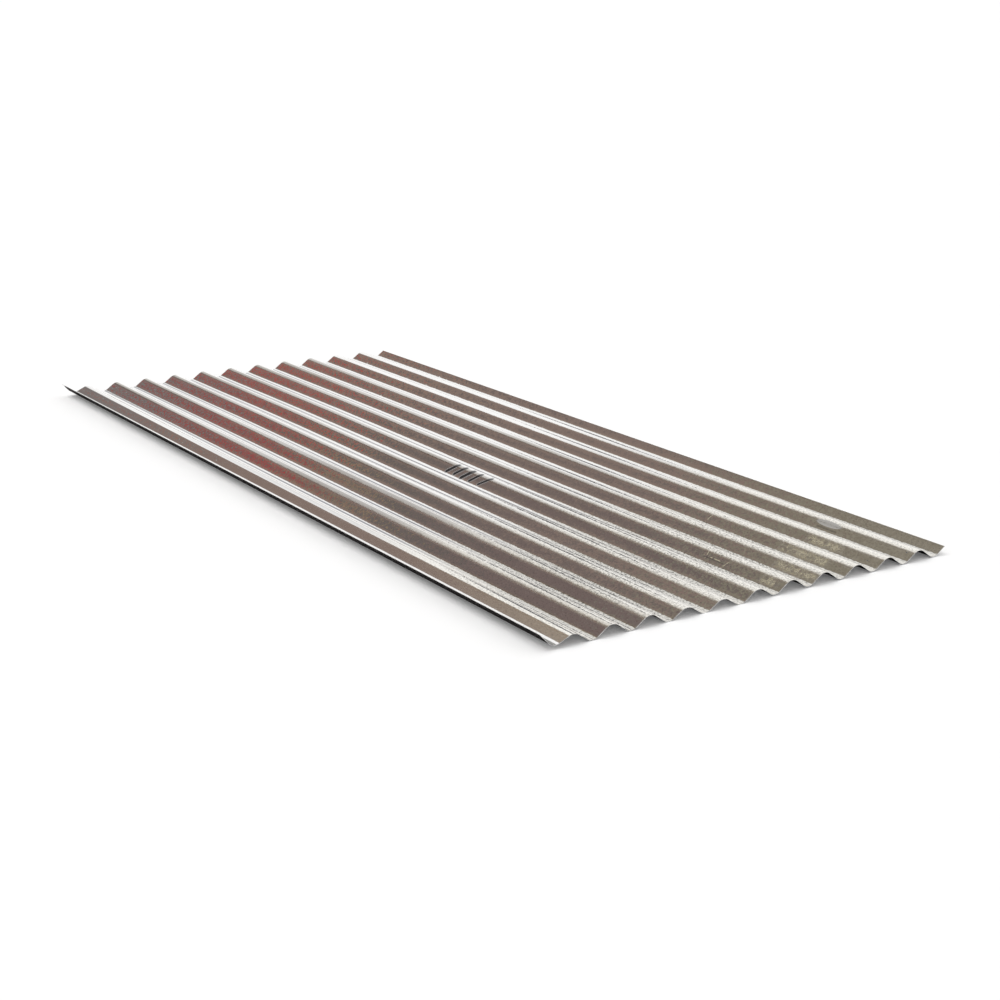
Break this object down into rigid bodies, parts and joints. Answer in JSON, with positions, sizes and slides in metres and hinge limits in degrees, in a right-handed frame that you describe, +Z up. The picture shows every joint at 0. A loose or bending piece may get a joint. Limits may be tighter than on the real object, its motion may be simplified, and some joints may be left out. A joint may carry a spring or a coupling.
{
  "type": "corrugated metal sheet",
  "caption": "Rectangular galvanised steel sheet with even rounded corrugations along its length, sheared ends and an upturned lip along each side.",
  "frame": {"origin": "on the floor, under the middle of the sheet", "axes": "+X along the corrugations, +Y across them, +Z up; the side whose lip is sprung up is at -Y"},
  "size_m": [2, 0.8896, 0.0305],
  "materials": {
    "galvanised_steel": "weathered galvanised zinc with a faint spangle"
  },
  "bodies": {
    "root": {"corrugated_sheet": "galvanised_steel"}
  },
  "joints": []
}
